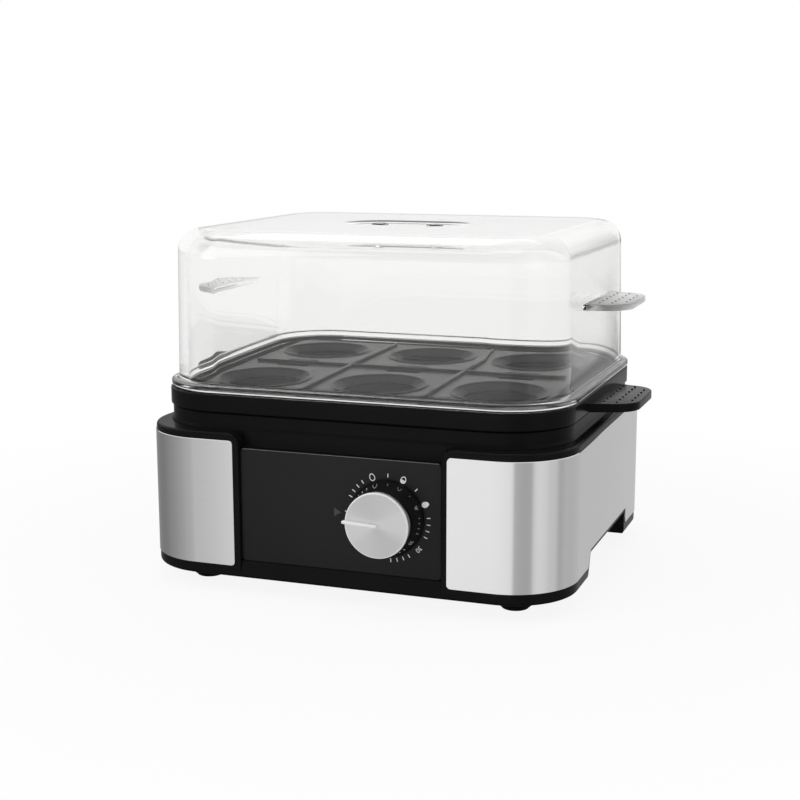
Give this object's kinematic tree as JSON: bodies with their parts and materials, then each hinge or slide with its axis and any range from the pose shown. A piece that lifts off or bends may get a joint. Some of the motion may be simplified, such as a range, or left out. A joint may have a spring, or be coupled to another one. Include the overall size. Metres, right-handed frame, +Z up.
{
  "type": "electric egg cooker",
  "caption": "Electric egg cooker: black base with brushed-steel cheeks and a timer knob, a lift-out tray with round egg seats, and a clear lift-off lid with two side tabs.",
  "frame": {"origin": "on the floor under the feet, below the middle of the overall box", "axes": "+Z up, -Y out of the control face, +X to the right as seen from the front"},
  "size_m": [0.2016, 0.1698, 0.1395],
  "materials": {
    "black_plastic": "satin black moulding",
    "panel_plastic": "smooth dark grey",
    "clear_plastic": "clear, polished",
    "brushed_steel": "brushed lengthwise",
    "spun_aluminium": "spun disc",
    "coated_aluminium": "dark non-stick coat",
    "heater_steel": "annealed",
    "zinc_steel": "zinc plated",
    "bell_steel": "nickel plated",
    "black_rubber": "matte",
    "silicone": "matte grey silicone",
    "cream_plastic": "moulded",
    "ceramic": "glazed ceramic",
    "lead_sleeve": "silicone sleeving"
  },
  "bodies": {
    "base": {"body_shell": "black_plastic", "control_panel": "panel_plastic", "steel_cheek_left": "brushed_steel", "steel_cheek_right": "brushed_steel", "bottom_cover": "black_plastic", "foot_front_left": "black_rubber", "foot_front_right": "black_rubber", "foot_back_left": "black_rubber", "foot_back_right": "black_rubber", "cover_screw_1": "zinc_steel", "cover_screw_2": "zinc_steel", "cover_screw_3": "zinc_steel", "cover_screw_4": "zinc_steel", "heating_bowl": "coated_aluminium", "bowl_gasket": "silicone", "heating_element": "heater_steel", "bowl_stud": "zinc_steel", "heater_clamp": "zinc_steel", "clamp_nut": "zinc_steel", "thermostat": "ceramic", "thermal_fuse": "ceramic", "timer_case": "cream_plastic", "timer_bell": "bell_steel", "bell_nut": "zinc_steel", "timer_screw_1": "zinc_steel", "timer_screw_2": "zinc_steel", "cord_gland": "black_rubber", "terminal_block": "cream_plastic", "lead_live": "lead_sleeve", "lead_fuse": "lead_sleeve", "lead_element": "lead_sleeve", "lead_timer": "lead_sleeve", "lead_neutral": "lead_sleeve", "lead_earth": "lead_sleeve"},
    "knob": {"knob_skirt": "black_plastic", "knob_cap": "spun_aluminium", "timer_shaft": "zinc_steel"},
    "tray": {"egg_tray": "black_plastic"},
    "lid": {"lid": "clear_plastic"}
  },
  "joints": [
    {"name": "tray_lift", "type": "slide", "parent": "base", "child": "tray", "axis": [0, 0, 1], "range_m": [0, 0.06]},
    {"name": "lid_lift", "type": "slide", "parent": "tray", "child": "lid", "axis": [0, 0, 1], "range_m": [0, 0.09]},
    {"name": "timer_turn", "type": "hinge", "parent": "base", "child": "knob", "pos_m": [0.0196, -0.07144, 0.03554], "axis": [0, 1, 0], "range_deg": [0, 285]}
  ]
}
